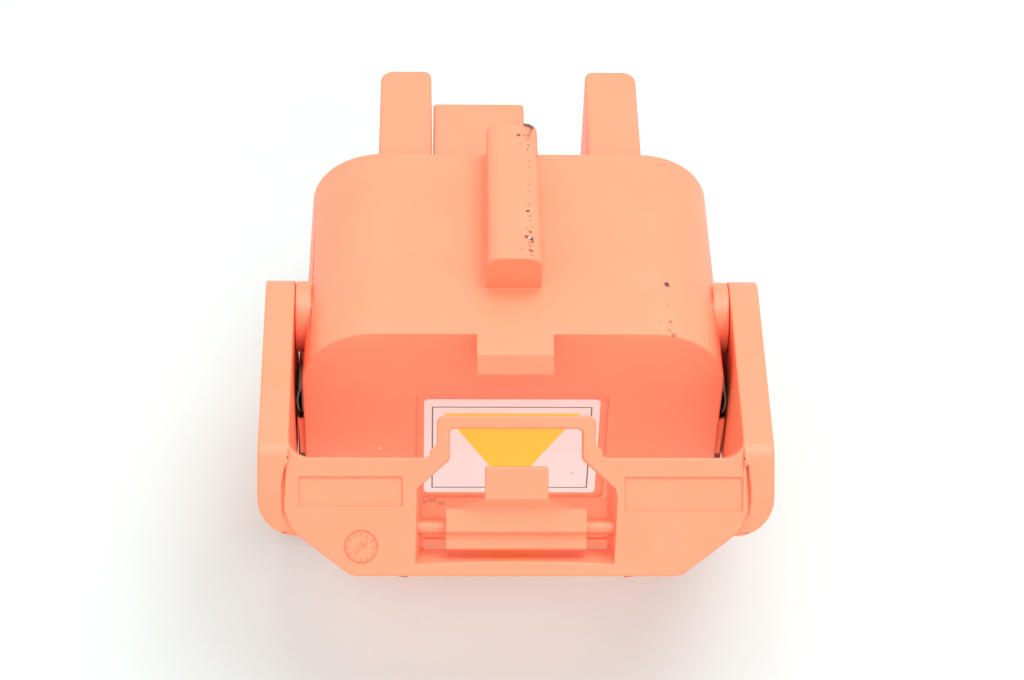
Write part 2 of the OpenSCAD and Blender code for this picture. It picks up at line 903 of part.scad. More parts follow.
// Two bowed leaves inside a socket that grip the mating blade
module contact_springs() {
    inner = socket_w / 2 - socket_t;
    r = (spring_len * spring_len / 4 + spring_bow * spring_bow) / (2 * spring_bow);
    low = tower_level - spring_h / 2;
    centre = inner - spring_play - spring_bow + r;
    color(steel)
        for (side = [-1, 1])
            translate([tower_x, busbar_back + socket_len - 2 - spring_len / 2, low])
                linear_extrude(spring_h)
                    intersection() {
                        translate([side * centre, 0])
                            difference() {
                                circle(r = r, $fn = spring_fn);
                                circle(r = r - spring_t, $fn = spring_fn);
                            }
                        translate([side * (inner - spring_play) - (side > 0 ? 2 : 0), -spring_len / 2])
                            square([2, spring_len]);
                    }
}

module contact_springs_right() {
    contact_springs();
}

module contact_springs_left() {
    mirror([1, 0, 0]) contact_springs();
}

// Two pins joined by a bridge, which closes the safety loop when the plug is home
module interlock_jumper() {
    middle = (interlock_left + interlock_right) / 2;
    pin_back = front_y + 57;
    bridge_front = base_front - 1.5;
    play = 0.02;
    low = tower_top - interlock_h / 2 - jumper_h / 2 + play;
    bridge_t = 1.4;
    color(brass) {
        for (side = [-1, 1])
            translate([middle + side * jumper_pitch / 2 - jumper_t / 2 + play, bridge_front, low])
                cube([jumper_t - 2 * play, pin_back - bridge_front, jumper_h - 2 * play]);
        translate([middle - jumper_pitch / 2, bridge_front, low])
            cube([jumper_pitch, bridge_t, jumper_h - 2 * play]);
    }
}

housing();
label();
side_springs();
lever();
lock_rocker();
terminal_housing();
rim_seal();
housing_screws();
fuse_tube();
fuse_cap_left();
fuse_cap_right();
fuse_element();
fuse_bolts();
spring_washers();
threaded_inserts();
busbar_left();
busbar_right();
socket_left();
socket_right();
contact_springs_left();
contact_springs_right();
interlock_jumper();
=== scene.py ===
import math

import bmesh
import bpy
import numpy as np
from mathutils import Matrix, Vector


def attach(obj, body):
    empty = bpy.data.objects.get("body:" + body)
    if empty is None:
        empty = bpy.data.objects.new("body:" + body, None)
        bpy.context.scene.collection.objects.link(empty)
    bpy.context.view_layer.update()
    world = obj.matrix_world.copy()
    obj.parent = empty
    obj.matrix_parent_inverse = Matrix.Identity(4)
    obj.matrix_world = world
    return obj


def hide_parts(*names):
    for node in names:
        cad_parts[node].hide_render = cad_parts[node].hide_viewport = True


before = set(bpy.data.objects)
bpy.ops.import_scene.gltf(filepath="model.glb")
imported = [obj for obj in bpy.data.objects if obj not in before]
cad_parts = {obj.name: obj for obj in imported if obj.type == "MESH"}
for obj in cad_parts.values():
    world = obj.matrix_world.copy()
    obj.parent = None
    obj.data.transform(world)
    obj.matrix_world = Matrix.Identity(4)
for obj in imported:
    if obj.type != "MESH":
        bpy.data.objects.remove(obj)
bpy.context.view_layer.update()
mm = 0.001
print("frame:", len(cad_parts), "nodes")


def linearColor(text):
    # sRGB hex to linear: a straight line below 0.04045, the 2.4 power of (c + 0.055) / 1.055 above it
    channels = [int(text[i:i + 2], 16) / 255 for i in (1, 3, 5)]
    return tuple(c / 12.92 if c <= 0.04045 else ((c + 0.055) / 1.055) ** 2.4 for c in channels) + (1.0,)


def addNode(tree, kind, settings=None, links=None):
    # one node with its settings; a link is a socket, a node for its first output, or a plain value
    node = tree.nodes.new(kind)
    for name, value in (settings or {}).items():
        setattr(node, name, value)
    for name, value in (links or {}).items():
        if isinstance(value, bpy.types.Node):
            value = value.outputs[0]
        if isinstance(value, bpy.types.NodeSocket):
            tree.links.new(value, node.inputs[name])
        else:
            node.inputs[name].default_value = value
    return node


def startMaterial(name):
    # an empty material with its node tree and the piece's own coordinates, in metres
    material = bpy.data.materials.new(name)
    material.use_nodes = True
    material.node_tree.nodes.clear()
    tree = material.node_tree
    return material, tree, addNode(tree, "ShaderNodeTexCoord").outputs["Object"]


def endMaterial(tree, shader):
    addNode(tree, "ShaderNodeOutputMaterial", None, {0: shader})


# orange glass-filled nylon (PA6-GF), injection moulded against a fine spark-eroded tool
nylon = {
    "body": "#FF9570",         # skin
    "cloud": "#FF8B64",        # faint clouds where more fibre lies near the skin
    "cloudSize": 11.0,         # mm
    "fibre": 0.035,            # share by which single fibres lighten or darken the skin
    "fibreSize": 0.35,         # mm, drawn coarse enough to show
    "grainSize": 0.22,         # mm, drawn coarse enough to show
    "grainDepth": 0.005,       # mm
    "ior": 1.53,
    "roughness": 0.42,
    "smoother": 0.05,          # taken from the roughness in the valleys of the grain
    "rougher": 0.06,           # added to it on the peaks
    "softening": 0.35,         # mm, how far the tool's edges are worn round beyond the modelled radius
    "raggedness": 0.55,        # mm, how far the outline of a spot wanders
    "core": 0.55,              # share of a spot's radius where it shows in full
}

# scuffs and specks, and on the housing three broad faint patches that darken the front face low down: the
# place in mm, the radius in mm, the colour and how much of it shows
dark, brown, red, pale = "#43302B", "#7B4334", "#E8684C", "#EADBD2"
housingMarks = [
    {"at": (0.9, 22.0, 70.5), "radius": 0.55, "color": brown, "amount": 0.8},
    {"at": (2.6, 21.5, 70.8), "radius": 0.81, "color": dark, "amount": 0.85},
    {"at": (3.4, 21.2, 70.47), "radius": 0.78, "color": dark, "amount": 0.9},
    {"at": (3.9, 21.9, 70.09), "radius": 0.59, "color": brown, "amount": 0.8},
    {"at": (2.9, 20.4, 70.8), "radius": 0.65, "color": red, "amount": 0.6},
    {"at": (1.12, 18.81, 70.8), "radius": 0.49, "color": brown, "amount": 1.0},
    {"at": (2.2, 18.8, 70.8), "radius": 0.44, "color": red, "amount": 0.8},
    {"at": (2.95, 18.85, 70.8), "radius": 0.49, "color": brown, "amount": 0.7},
    {"at": (2.84, 17.8, 70.8), "radius": 0.59, "color": red, "amount": 0.55},
    {"at": (1.39, 16.48, 70.8), "radius": 0.36, "color": red, "amount": 0.8},
    {"at": (4.33, 14.55, 69.6), "radius": 0.39, "color": brown, "amount": 0.7},
    {"at": (3.12, 12.37, 70.8), "radius": 0.39, "color": red, "amount": 0.7},
    {"at": (2.94, 7.78, 70.8), "radius": 0.36, "color": red, "amount": 0.6},
    {"at": (2.85, 6.36, 70.8), "radius": 0.42, "color": red, "amount": 0.6},
    {"at": (2.65, 1.41, 70.8), "radius": 0.55, "color": red, "amount": 0.6},
    {"at": (2.52, -0.08, 70.8), "radius": 0.47, "color": dark, "amount": 1.0},
    {"at": (2.72, -2.37, 70.8), "radius": 0.39, "color": red, "amount": 0.5},
    {"at": (2.88, -5.14, 70.8), "radius": 0.47, "color": brown, "amount": 0.9},
    {"at": (2.2, -6.3, 70.8), "radius": 0.55, "color": dark, "amount": 0.9},
    {"at": (2.95, -6.75, 70.8), "radius": 0.65, "color": dark, "amount": 0.95},
    {"at": (2.62, -6.5, 70.8), "radius": 0.39, "color": pale, "amount": 0.9},
    {"at": (2.75, -8.45, 70.8), "radius": 0.52, "color": red, "amount": 0.7},
    {"at": (2.79, -9.6, 70.8), "radius": 0.55, "color": brown, "amount": 0.85},
    {"at": (1.28, -9.28, 70.8), "radius": 0.34, "color": red, "amount": 0.8},
    {"at": (3.0, 16.4, 70.8), "radius": 0.35, "color": brown, "amount": 0.8},
    {"at": (2.7, 15.2, 70.8), "radius": 0.32, "color": brown, "amount": 0.7},
    {"at": (3.1, 13.6, 70.8), "radius": 0.29, "color": brown, "amount": 0.7},
    {"at": (2.95, 10.9, 70.8), "radius": 0.32, "color": brown, "amount": 0.7},
    {"at": (3.05, 9.2, 70.8), "radius": 0.29, "color": brown, "amount": 0.7},
    {"at": (2.8, 4.9, 70.8), "radius": 0.35, "color": brown, "amount": 0.7},
    {"at": (3.0, 3.2, 70.8), "radius": 0.29, "color": brown, "amount": 0.6},
    {"at": (2.9, -1.3, 70.8), "radius": 0.35, "color": brown, "amount": 0.8},
    {"at": (3.1, -3.8, 70.8), "radius": 0.32, "color": brown, "amount": 0.7},
    {"at": (2.3, -4.4, 70.8), "radius": 0.29, "color": brown, "amount": 0.6},
    {"at": (3.2, -7.5, 70.6), "radius": 0.41, "color": dark, "amount": 0.9},
    {"at": (2.5, -7.7, 70.8), "radius": 0.32, "color": brown, "amount": 0.8},
    {"at": (3.0, -10.7, 70.8), "radius": 0.35, "color": brown, "amount": 0.7},
    {"at": (3.3, 19.6, 70.6), "radius": 0.43, "color": brown, "amount": 0.8},
    {"at": (3.6, 20.4, 70.6), "radius": 0.38, "color": dark, "amount": 0.9},
    {"at": (27.34, -9.9, 62.18), "radius": 0.68, "color": dark, "amount": 1.0},
    {"at": (27.25, -15.13, 62.22), "radius": 0.39, "color": red, "amount": 0.7},
    {"at": (27.61, -18.66, 62.15), "radius": 0.44, "color": brown, "amount": 0.7},
    {"at": (25.6, -18.9, 62.51), "radius": 0.34, "color": red, "amount": 0.6},
    {"at": (27.15, -20.77, 62.27), "radius": 0.52, "color": red, "amount": 0.7},
    {"at": (27.99, -21.69, 62.06), "radius": 0.55, "color": brown, "amount": 0.7},
    {"at": (27.14, 19.81, 62.12), "radius": 0.39, "color": brown, "amount": 0.6},
    {"at": (28.4, 20.4, 61.7), "radius": 0.47, "color": red, "amount": 0.6},
    {"at": (-7.6, 20.36, 62.6), "radius": 0.34, "color": red, "amount": 0.5},
    {"at": (-23.99, -22.0, 30.46), "radius": 0.34, "color": pale, "amount": 0.9},
    # three broad, faint brown patches make the bottom of the front face darker, inside the lever's window
    {"at": (-14.4, -21.2, 14.2), "radius": 1.43, "color": brown, "amount": 0.35},
    {"at": (-16.2, -21.2, 13.2), "radius": 1.04, "color": brown, "amount": 0.4},
    {"at": (-12.6, -21.2, 12.9), "radius": 0.91, "color": brown, "amount": 0.3},
]
leverWear = [
    {"at": (44.3, -0.99, 50.78), "radius": 0.65, "color": brown, "amount": 0.9},
    {"at": (9.8, -44.6, 60.6), "radius": 0.29, "color": red, "amount": 0.6},
]


def nylonMaterial(name, look, marks):
    # satin sheen that breaks up on the grain, edges that catch the light, dirt held in the scuffs, and
    # the housing's front face darker low down
    material, tree, place = startMaterial(name)
    clouds = addNode(tree, "ShaderNodeTexNoise", None,
                     {"Vector": place, "Scale": 1 / (look["cloudSize"] * mm),
                      "Detail": 2.0, "Roughness": 0.5})
    skin = addNode(tree, "ShaderNodeMix", {"data_type": "RGBA"},
                   {0: clouds, 6: linearColor(look["body"]), 7: linearColor(look["cloud"])})
    fibres = addNode(tree, "ShaderNodeTexNoise", None,
                     {"Vector": place, "Scale": 1 / (look["fibreSize"] * mm), "Detail": 2.0})
    shade = addNode(tree, "ShaderNodeMapRange", None,
                    {"Value": fibres, "To Min": 1 - look["fibre"], "To Max": 1 + look["fibre"]})
    color = addNode(tree, "ShaderNodeVectorMath", {"operation": "SCALE"},
                    {0: skin.outputs[2], "Scale": shade}).outputs[0]
    raggedness = look["raggedness"] * mm
    wander = addNode(tree, "ShaderNodeTexNoise", None,
                     {"Vector": place, "Scale": 1 / raggedness, "Detail": 3.0, "Roughness": 0.7})
    shift = addNode(tree, "ShaderNodeVectorMath", {"operation": "MULTIPLY_ADD"},
                    {0: wander.outputs[1], 1: (2 * raggedness,) * 3, 2: (-raggedness,) * 3})
    ragged = addNode(tree, "ShaderNodeVectorMath", None, {0: place, 1: shift})
    for spot in marks:
        away = addNode(tree, "ShaderNodeVectorMath", {"operation": "DISTANCE"},
                       {0: ragged, 1: [v * mm for v in spot["at"]]}).outputs["Value"]
        radius = spot["radius"] * mm
        inside = addNode(tree, "ShaderNodeMapRange", None,
                         {"Value": away, "From Min": radius, "From Max": look["core"] * radius,
                          "To Max": spot["amount"]})
        color = addNode(tree, "ShaderNodeMix", {"data_type": "RGBA"},
                        {0: inside, 6: color, 7: linearColor(spot["color"])}).outputs[2]
    grain = addNode(tree, "ShaderNodeTexNoise", None,
                    {"Vector": place, "Scale": 1 / (look["grainSize"] * mm),
                     "Detail": 3.0, "Roughness": 0.6})
    edges = addNode(tree, "ShaderNodeBevel", {"samples": 6}, {"Radius": look["softening"] * mm})
    bump = addNode(tree, "ShaderNodeBump", None,
                   {"Height": grain, "Distance": look["grainDepth"] * mm, "Normal": edges})
    satin = addNode(tree, "ShaderNodeMapRange", None,
                    {"Value": grain, "To Min": look["roughness"] - look["smoother"],
                     "To Max": look["roughness"] + look["rougher"]})
    shader = addNode(tree, "ShaderNodeBsdfPrincipled", None,
                     {"Base Color": color, "Roughness": satin, "Normal": bump, "IOR": look["ior"]})
    endMaterial(tree, shader)
    return material


orangeHousing = nylonMaterial("Moulded nylon, housing", nylon, housingMarks)
orangeLever = nylonMaterial("Moulded nylon, lever", nylon, leverWear)
orangeTerminal = nylonMaterial("Moulded nylon, terminal housing", nylon, [])
print("materials: nylon with", len(housingMarks) + len(leverWear), "scuffs")

# metals: the colour, the roughness, how fast the surface lines change along X, Y and Z, so that they
# run along the axis with the smallest share, and how deep they are in mm
metals = {
    # the spring strip's colour is far darker than the bright steel it is: painted shade, standing for the
    # dim gap beside the housing where the side springs stand
    "Stainless spring strip, rolled, painted dark for shade": {
        "color": "#84756B", "rough": 0.34, "squeeze": (1.0, 1.0, 0.05), "depth": 0.003},
    "Zinc-plated steel, barrelled": {
        "color": "#C9CBCC", "rough": 0.30, "squeeze": (1.0, 1.0, 0.4), "depth": 0.002},
    "Tinned brass, pressed": {
        "color": "#D9D2BE", "rough": 0.36, "squeeze": (1.0, 1.0, 0.5), "depth": 0.003},
    "Silver-plated copper, pressed": {
        "color": "#E8E2DA", "rough": 0.24, "squeeze": (1.0, 0.1, 1.0), "depth": 0.002},
    "Bare copper, cold rolled": {
        "color": "#E0946C", "rough": 0.30, "squeeze": (1.0, 1.0, 0.1), "depth": 0.002},
}
metalSurface = {
    "lines": 0.29,             # mm between rolling lines, drawn coarse enough to show
    "smoother": 0.08,          # taken from the roughness in the bottom of a line
    "rougher": 0.1,            # added to it on the ridges between
    "tarnishSize": 6.0,        # mm
    "tarnish": 0.78,           # share of the colour's light that is left under the tarnish
}


def metalMaterial(name, look):
    # rolled, pressed or barrelled metal: fine lines vary the gloss, and a thin tarnish clouds the colour
    material, tree, place = startMaterial(name)
    squeezed = addNode(tree, "ShaderNodeMapping", None, {"Vector": place, "Scale": look["squeeze"]})
    lines = addNode(tree, "ShaderNodeTexNoise", None,
                    {"Vector": squeezed, "Scale": 1 / (metalSurface["lines"] * mm), "Detail": 3.0})
    tarnish = addNode(tree, "ShaderNodeTexNoise", None,
                      {"Vector": place, "Scale": 1 / (metalSurface["tarnishSize"] * mm), "Detail": 4.0})
    base = linearColor(look["color"])
    tarnished = tuple(c * metalSurface["tarnish"] for c in base[:3]) + (1.0,)
    tone = addNode(tree, "ShaderNodeMix", {"data_type": "RGBA"}, {0: tarnish, 6: base, 7: tarnished})
    gloss = addNode(tree, "ShaderNodeMapRange", None,
                    {"Value": lines, "To Min": look["rough"] - metalSurface["smoother"],
                     "To Max": look["rough"] + metalSurface["rougher"]})
    bump = addNode(tree, "ShaderNodeBump", None, {"Height": lines, "Distance": look["depth"] * mm})
    shader = addNode(tree, "ShaderNodeBsdfPrincipled", None,
                     {"Base Color": tone.outputs[2], "Metallic": 1.0, "Roughness": gloss,
                      "Normal": bump})
    endMaterial(tree, shader)
    return material


stainlessDarkForShade, zincSteel, tinnedBrass, silverCopper, bareCopper = [
    metalMaterial(name, look) for name, look in metals.items()]

# rubber and ceramic: the colour, the roughness, the size of the grain in mm and the IOR
dull = {
    "Silicone rubber, moulded": {"color": "#C4573A", "rough": 0.55, "grain": 0.3, "ior": 1.41},
    "Steatite ceramic, unglazed": {"color": "#E9E2D4", "rough": 0.6, "grain": 0.25, "ior": 1.6},
}
dullDepth = 0.006              # mm, height of the grain
dullShade = 0.88               # share of the colour's light that is left on the grain's peaks


def dullMaterial(name, look):
    # matt, slightly uneven surface straight from the mould or the kiln
    material, tree, place = startMaterial(name)
    grain = addNode(tree, "ShaderNodeTexNoise", None,
                    {"Vector": place, "Scale": 1 / (look["grain"] * mm), "Detail": 3.0})
    base = linearColor(look["color"])
    darker = tuple(c * dullShade for c in base[:3]) + (1.0,)
    tone = addNode(tree, "ShaderNodeMix", {"data_type": "RGBA"}, {0: grain, 6: base, 7: darker})
    bump = addNode(tree, "ShaderNodeBump", None, {"Height": grain, "Distance": dullDepth * mm})
    shader = addNode(tree, "ShaderNodeBsdfPrincipled", None,
                     {"Base Color": tone.outputs[2], "Roughness": look["rough"], "IOR": look["ior"],
                      "Normal": bump})
    endMaterial(tree, shader)
    return material


silicone, steatite = [dullMaterial(name, look) for name, look in dull.items()]
print("materials: metals, rubber, ceramic")

# label: a satin film with a thin frame line and one plain tapered field, in mm on the label face
labelLook = {
    "film": "#F8EAE8",
    "handled": "#EEDDDA",      # where hands have dulled it
    "handledSize": 3.846,      # mm
    "ior": 1.57,
    "roughness": 0.42,
    "field": "#FFCE2E",
    "line": "#6A655C",
    "dirt": "#B98A80",
    "frameX": 14.4,            # from the middle to the line
    "frameLow": 18.5,          # level of the lower line
    "frameHigh": 42.0,
    "lineWidth": 0.25,
    "fieldTop": 40.3,
    "fieldLow": 22.6,
    "fieldHalf": 7.0,          # half width at the field's middle level
    "fieldMiddle": 30.6,
    "fieldSlope": 0.559,       # half width gained for each mm of height
    "dirtAt": (11.64, -21.7, 22.77),
    "dirtRadius": 0.35,
}


def labelMaterial(name, look):
    # printed polyester film: smooth and satin, its ink flat on it
    material, tree, place = startMaterial(name)
    split = addNode(tree, "ShaderNodeSeparateXYZ", None, {"Vector": place})
    level = split.outputs[2]
    fromMiddle = addNode(tree, "ShaderNodeMath", {"operation": "ABSOLUTE"}, {0: split.outputs[0]})
    frameMiddle = (look["frameLow"] + look["frameHigh"]) / 2 * mm
    frameHalf = (look["frameHigh"] - look["frameLow"]) / 2 * mm
    fromCentre = addNode(tree, "ShaderNodeMath", {"operation": "SUBTRACT"}, {0: level, 1: frameMiddle})
    upOrDown = addNode(tree, "ShaderNodeMath", {"operation": "ABSOLUTE"}, {0: fromCentre})
    pastSide = addNode(tree, "ShaderNodeMath", {"operation": "SUBTRACT"},
                       {0: fromMiddle, 1: look["frameX"] * mm})
    pastEnd = addNode(tree, "ShaderNodeMath", {"operation": "SUBTRACT"}, {0: upOrDown, 1: frameHalf})
    pastFrame = addNode(tree, "ShaderNodeMath", {"operation": "MAXIMUM"}, {0: pastSide, 1: pastEnd})
    onFrame = addNode(tree, "ShaderNodeMath", {"operation": "COMPARE"},
                      {0: pastFrame, 1: 0.0, 2: look["lineWidth"] / 2 * mm})
    aboveMiddle = addNode(tree, "ShaderNodeMath", {"operation": "SUBTRACT"},
                          {0: level, 1: look["fieldMiddle"] * mm})
    fieldEdge = addNode(tree, "ShaderNodeMath", {"operation": "MULTIPLY_ADD"},
                        {0: aboveMiddle, 1: look["fieldSlope"], 2: look["fieldHalf"] * mm})
    between = addNode(tree, "ShaderNodeMath", {"operation": "LESS_THAN"}, {0: fromMiddle, 1: fieldEdge})
    under = addNode(tree, "ShaderNodeMath", {"operation": "LESS_THAN"},
                    {0: level, 1: look["fieldTop"] * mm})
    over = addNode(tree, "ShaderNodeMath", {"operation": "GREATER_THAN"},
                   {0: level, 1: look["fieldLow"] * mm})
    inBand = addNode(tree, "ShaderNodeMath", {"operation": "MULTIPLY"}, {0: under, 1: over})
    onField = addNode(tree, "ShaderNodeMath", {"operation": "MULTIPLY"}, {0: between, 1: inBand})
    handled = addNode(tree, "ShaderNodeTexNoise", None,
                      {"Vector": place, "Scale": 1 / (look["handledSize"] * mm), "Detail": 3.0})
    film = addNode(tree, "ShaderNodeMix", {"data_type": "RGBA"},
                   {0: handled, 6: linearColor(look["film"]), 7: linearColor(look["handled"])})
    printed = addNode(tree, "ShaderNodeMix", {"data_type": "RGBA"},
                      {0: onField, 6: film.outputs[2], 7: linearColor(look["field"])})
    lined = addNode(tree, "ShaderNodeMix", {"data_type": "RGBA"},
                    {0: onFrame, 6: printed.outputs[2], 7: linearColor(look["line"])})
    away = addNode(tree, "ShaderNodeVectorMath", {"operation": "DISTANCE"},
                   {0: place, 1: [v * mm for v in look["dirtAt"]]}).outputs["Value"]
    onDirt = addNode(tree, "ShaderNodeMapRange", None,
                     {"Value": away, "From Min": look["dirtRadius"] * mm, "From Max": 0.0})
    soiled = addNode(tree, "ShaderNodeMix", {"data_type": "RGBA"},
                     {0: onDirt, 6: lined.outputs[2], 7: linearColor(look["dirt"])})
    shader = addNode(tree, "ShaderNodeBsdfPrincipled", None,
                     {"Base Color": soiled.outputs[2], "Roughness": look["roughness"],
                      "IOR": look["ior"]})
    endMaterial(tree, shader)
    return material


printedFilm = labelMaterial("Polyester film, printed", labelLook)
print("materials: label")

# mouldings: the body, the material, the radius of the tool's edges in mm and the smallest turn in
# degrees that counts as an edge; "clamp" holds the radius back where faces are narrow; the towers of
# the terminal housing have no radius here, because their edges are rounded in the node's own mesh
mouldings = {
    "housing": {
        "body": "plug", "material": orangeHousing, "edge": 0.3, "turn": 28, "clamp": False},
    "lever": {
        "body": "lever", "material": orangeLever, "edge": 0.33, "turn": 40, "clamp": False},
    "lock_rocker": {
        "body": "rocker", "material": orangeLever, "edge": 0.3, "turn": 40, "clamp": True},
    "terminal_housing": {
        "body": "plug", "material": orangeTerminal, "edge": 0, "turn": 50, "clamp": False},
}
mergeWithin = 0.002            # mm between points that are one point
flatWithin = 0.2               # degrees between faces that are one flat face
edgeSteps = 4                  # faces across a rounded edge
bothSides = 2.1                # radii that a face must reach away from an edge, for one at each side


def markEdges(shape, look):
    # weight 1 on sharp edges whose faces reach far enough away: shallow recesses keep crisp walls
    weight = shape.edges.layers.float.new("bevel_weight_edge")
    for edge in shape.edges:
        if len(edge.link_faces) != 2 or edge.calc_face_angle(0) < math.radians(look["turn"]):
            continue
        start, end = (corner.co for corner in edge.verts)
        along = (end - start).normalized()
        reach = min(max((corner.co - start).cross(along).length for corner in face.verts)
                    for face in edge.link_faces)
        if reach > bothSides * look["edge"] * mm:
            edge[weight] = 1.0


def roundEdges(piece, look):
    # a radius along the edges that markEdges weighted
    edges = piece.modifiers.new("Mould radius", "BEVEL")
    edges.width = look["edge"] * mm
    edges.segments = edgeSteps
    edges.limit_method = "WEIGHT"
    edges.use_clamp_overlap = look["clamp"]


def mouldedCopy(node, look):
    # merged copy of a node's mesh with its flat regions rejoined, then a radius along its sharp edges
    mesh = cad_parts[node].data.copy()
    shape = bmesh.new()
    shape.from_mesh(mesh)
    bmesh.ops.remove_doubles(shape, verts=shape.verts, dist=mergeWithin * mm)
    bmesh.ops.dissolve_limit(shape, angle_limit=math.radians(flatWithin),
                             verts=shape.verts, edges=shape.edges)
    markEdges(shape, look)
    shape.to_mesh(mesh)
    shape.free()
    mesh.attributes.remove(mesh.attributes["custom_normal"])    # it belongs to the loose triangles
    mesh.materials.clear()
    mesh.materials.append(look["material"])
    mesh.polygons.foreach_set("material_index", np.zeros(len(mesh.polygons), dtype=np.int32))
    mesh.shade_smooth()
    mesh.set_sharp_from_angle(angle=math.radians(look["turn"]))
    piece = bpy.data.objects.new(node.replace("_", ".") + ".moulded", mesh)
    bpy.context.scene.collection.objects.link(piece)
    if look["edge"]:
        roundEdges(piece, look)
    normals = piece.modifiers.new("Normals by area", "WEIGHTED_NORMAL")
    normals.mode = "FACE_AREA"
    normals.keep_sharp = True
    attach(piece, look["body"])
    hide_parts(node)


for node, look in mouldings.items():
    mouldedCopy(node, look)
    print("moulding:", node)

# threaded fasteners along Y, in mm: x and z of each, the level under the head, which way the tip lies,
# the thread's radius, pitch, depth and plain neck, and how far the head's lower edge is broken
fasteners = {
    "fuse_bolts": {
        "name": "Fuse.bolts", "material": zincSteel,
        "places": [(-28.5, 19.0), (28.5, 19.0)],
        "under": -4.0, "way": 1, "length": 12.0, "headHeight": 3.4,
        "radius": 2.5, "pitch": 0.8, "depth": 0.42, "plain": 0.9,
        "edgeBreak": 0.05,
        "flats": 8.0,              # across the hexagon
        "crown": 0.94,             # share of the flats that the round faces of the head take
        "washerFace": 0.2,         # height of the round face under the hexagon
    },
    "housing_screws": {
        "name": "Housing.screws", "material": zincSteel,
        "places": [(-27.6, 9.2), (27.6, 9.2), (-27.6, 53.4), (27.6, 53.4)],
        "under": 15.0, "way": -1, "length": 17.0, "headHeight": 2.0,
        "radius": 1.2, "pitch": 1.0, "depth": 0.3, "plain": 3.6,
        "edgeBreak": 0.1,
        "headRadius": 2.7, "domeHeight": 0.9, "domeWidth": 0.75,
        "recessLength": 3.4, "recessWidth": 0.7, "recessDepth": 1.2,
        "recessTaper": 0.8,        # share of its size that the recess keeps at its bottom
    },
}
shank = {
    "around": 48,              # points round a fastener, apart from the recess's corners
    "rings": 8,                # rings of points to one turn of thread
    "slope": 1.35,             # steepness of the thread's clipped triangle wave
    "crest": 0.2,              # how much of that wave is cut off for the crest
    "neckHeight": 0.25,        # mm, the fillet under the head
    "neckWidth": 0.2,          # share of the thread's depth
    "bareTip": 0.3,            # mm without thread
    "chamfer": 0.15,           # mm along the tip
    "tip": 0.85,               # share of the core's radius at the very end
}


def hexHead(look, angles):
    # a hexagon's radius is half its flats over the cosine of the angle from the nearest flat's middle;
    # a cone of 30 degrees takes its top corners off
    half, top, face = look["flats"] / 2, look["headHeight"], look["washerFace"]
    hexagon = half / np.cos(angles % (math.pi / 3) - math.pi / 6)
    crown = look["crown"] * half
    chamfer = (hexagon - crown) * math.tan(math.pi / 6)
    return [(-top, crown), (chamfer - top, hexagon), (-face - look["edgeBreak"], hexagon),
            (-face, crown), (0.0, crown)]


def crossHead(look, angles):
    # a cross's radius is the larger of its two arms', each the smaller of its side and its end;
    # the dome's width grows with the sine of a share of a quarter turn, its height with the share squared
    side, end = look["recessWidth"] / 2, look["recessLength"] / 2
    across, up = np.maximum(np.abs([np.cos(angles), np.sin(angles)]), 1e-6)    # never 0, to divide by
    cross = np.maximum(np.minimum(side / up, end / across), np.minimum(side / across, end / up))
    top, full, rim, wide = look["headHeight"], look["headRadius"], look["edgeBreak"], look["domeWidth"]
    recess = [(look["recessDepth"] - top, look["recessTaper"] * cross), (-top, cross)]
    dome = [(-top + look["domeHeight"] * share ** 2, full - wide + wide * math.sin(share * math.pi / 2))
            for share in (0.0, 0.3, 0.6, 0.85, 1.0)]
    return recess + dome + [(-rim, full), (0.0, full - rim)]


def threadedShank(look, angles):
    # radius = major minus depth times a clipped triangle wave of (distance / pitch - angle / full turn),
    # which fades in over the first pitch after the plain neck
    radius, depth, pitch, length = look["radius"], look["depth"], look["pitch"], look["length"]
    along = np.arange(look["plain"], length - shank["bareTip"], pitch / shank["rings"])
    phase = (along[:, None] / pitch - angles[None, :] / (2 * math.pi)) % 1
    valley = np.clip(shank["slope"] * np.abs(2 * phase - 1) - shank["crest"], 0, 1)
    fade = np.clip((along - look["plain"]) / pitch, 0, 1)[:, None]
    radii = radius - depth * valley * fade
    neck = [(0.0, radius + shank["neckWidth"] * depth), (shank["neckHeight"], radius)]
    tip = [(length - shank["chamfer"], radius - depth), (length, shank["tip"] * (radius - depth))]
    return neck + list(zip(along, radii)) + tip


def fastenerMesh(look):
    # closed skins of rings round each axis: x = axis + r cos(angle), z = axis + r sin(angle); points also
    # lie at the outer corners of the recess and, halfway between its arms, at the inner ones
    corner = math.atan2(look.get("recessWidth", 1), look.get("recessLength", 1))
    quarters = np.arange(4) * math.pi / 2
    corners = np.concatenate([quarters - corner, quarters + corner, quarters + math.pi / 4])
    even = np.linspace(0, 2 * math.pi, shank["around"], endpoint=False)
    angles = np.unique(np.round(np.append(even, corners % (2 * math.pi)), 6))
    head = hexHead(look, angles) if "flats" in look else crossHead(look, angles)
    rings = head + threadedShank(look, angles)
    levels = np.array([np.broadcast_to(level, angles.shape) for level, radius in rings])
    radii = np.array([np.broadcast_to(radius, angles.shape) for level, radius in rings])
    count, around = radii.shape
    row = np.arange(count - 1)[:, None] * around
    here = np.arange(around)[None, :]
    beside = (here + 1) % around
    quads = np.stack([row + here, row + around + here, row + around + beside, row + beside], -1)
    quads = quads.reshape(-1, 4)
    caps = [list(range(around)), list(range(count * around - 1, (count - 1) * around - 1, -1))]
    points, faces = [], []
    for x, z in look["places"]:
        first = len(points) * count * around
        skin = np.stack([x + radii * np.cos(angles), look["under"] + look["way"] * levels,
                         z + radii * np.sin(angles)], -1)
        points.append(skin.reshape(-1, 3) * mm)
        placed = (quads + first).tolist() + [[first + i for i in cap] for cap in caps]
        faces += placed if look["way"] > 0 else [face[::-1] for face in placed]
    mesh = bpy.data.meshes.new(look["name"])
    mesh.from_pydata(np.concatenate(points).tolist(), [], faces)
    return mesh


fineTurn = 35                  # degrees; a turn wider than this stays sharp on the fine pieces


